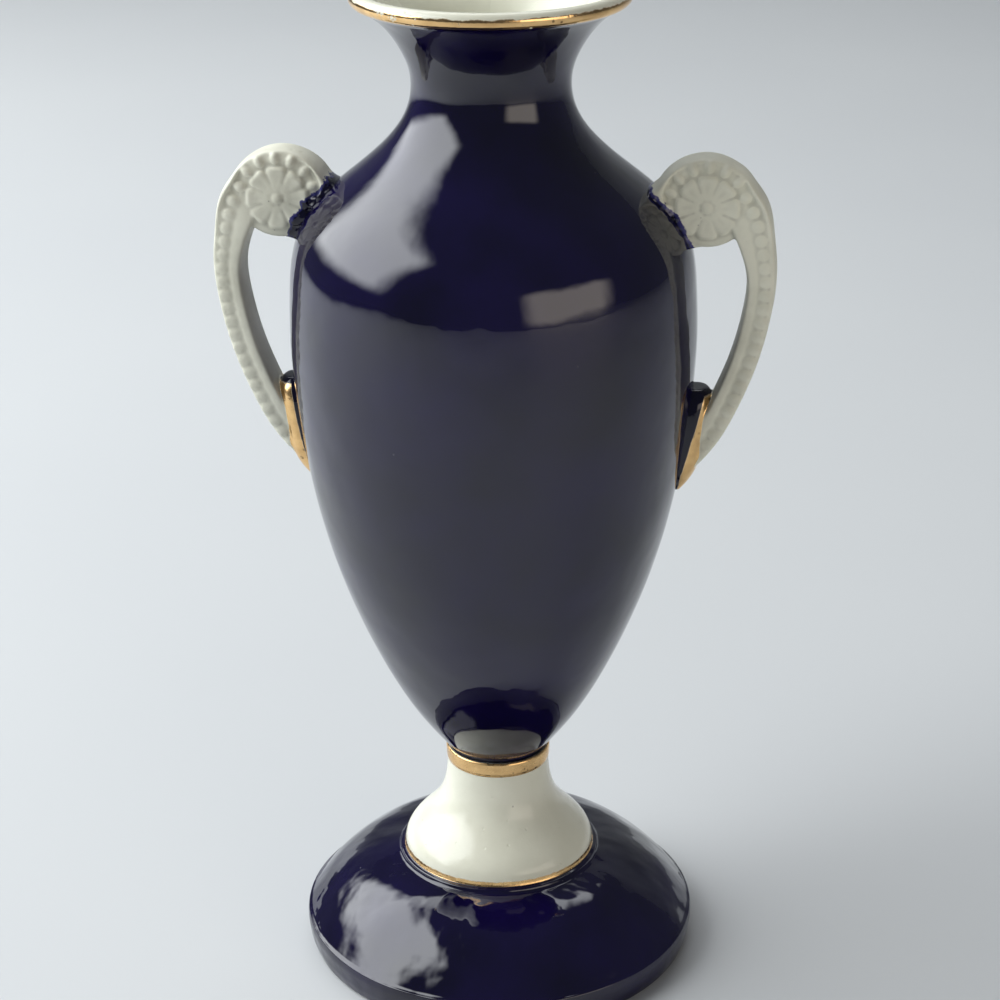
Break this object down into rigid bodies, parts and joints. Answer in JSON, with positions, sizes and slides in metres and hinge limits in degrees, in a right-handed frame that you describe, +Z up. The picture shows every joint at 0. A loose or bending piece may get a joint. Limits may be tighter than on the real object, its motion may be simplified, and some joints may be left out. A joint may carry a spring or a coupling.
{
  "type": "two-handled vase",
  "caption": "Slender porcelain vase with a flared lip, a pair of scrolled handles with beaded edges and rosettes, and a joined pedestal foot.",
  "frame": {"origin": "centre of the foot, on the surface that the vase stands on", "axes": "+Z up along the vase's axis, the handles along X, the front towards -Y"},
  "size_m": [0.1788, 0.135, 0.3309],
  "materials": {
    "cobalt_glaze": "high gloss dark cobalt glaze, with burnished gold bands and a white glazed stem and inside",
    "bisque": "unglazed matte warm white, with gilded tongues"
  },
  "bodies": {
    "root": {"vase_body": "cobalt_glaze", "pedestal": "cobalt_glaze", "handle_left": "bisque", "handle_right": "bisque"}
  },
  "joints": []
}
